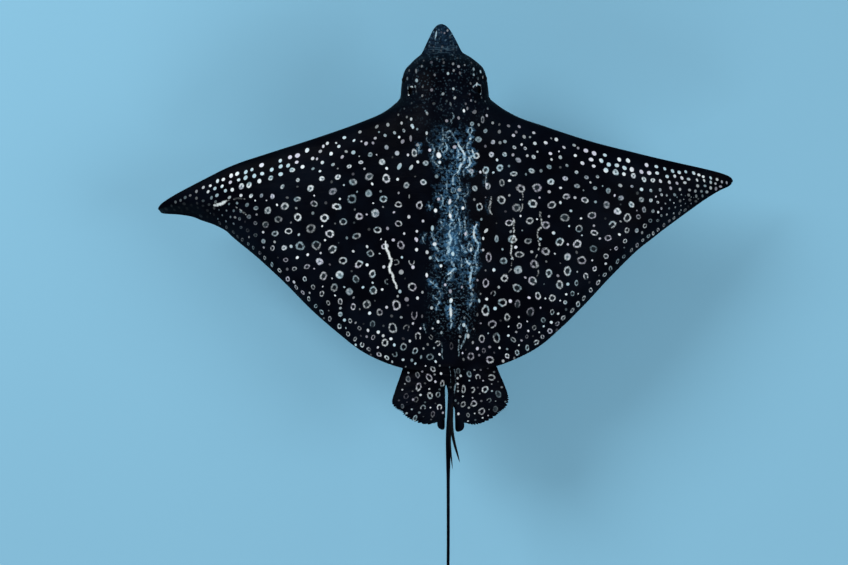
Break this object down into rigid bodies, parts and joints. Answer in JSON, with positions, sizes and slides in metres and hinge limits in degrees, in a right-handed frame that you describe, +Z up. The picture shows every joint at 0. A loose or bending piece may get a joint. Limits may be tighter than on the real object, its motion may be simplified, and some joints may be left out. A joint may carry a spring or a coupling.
{
  "type": "spotted eagle ray model",
  "caption": "Life-size still model of a swimming spotted eagle ray with arched wings and a whip tail, on a flat base with short rods.",
  "frame": {"origin": "middle of the base plate's underside, on the floor under the body", "axes": "+Z up; the snout points along -Y and the tail along +Y; the animal's left wing points along +X"},
  "size_m": [1.5119, 3.1995, 0.4502],
  "materials": {
    "skin": "smooth wet skin, blue-black above with white rings and dots, pale below",
    "eye": "wet, glossy and nearly black",
    "spine": "dull dark dentine",
    "plate": "satin dark grey paint",
    "steel": "fine brushed"
  },
  "bodies": {
    "root": {"snout": "skin", "head": "skin", "trunk": "skin", "wing_left": "skin", "wing_right": "skin", "tail_1": "skin", "tail_2": "skin", "tail_3": "skin", "tail_4": "skin", "tail_5": "skin", "pelvic_fin_left": "skin", "pelvic_fin_right": "skin", "clasper_left": "skin", "clasper_right": "skin", "dorsal_fin": "skin", "eye_left": "eye", "eye_right": "eye", "sting_upper": "spine", "sting_lower": "spine", "stand_base": "plate", "stand_rod_front": "steel", "stand_rod_rear": "steel"}
  },
  "joints": []
}
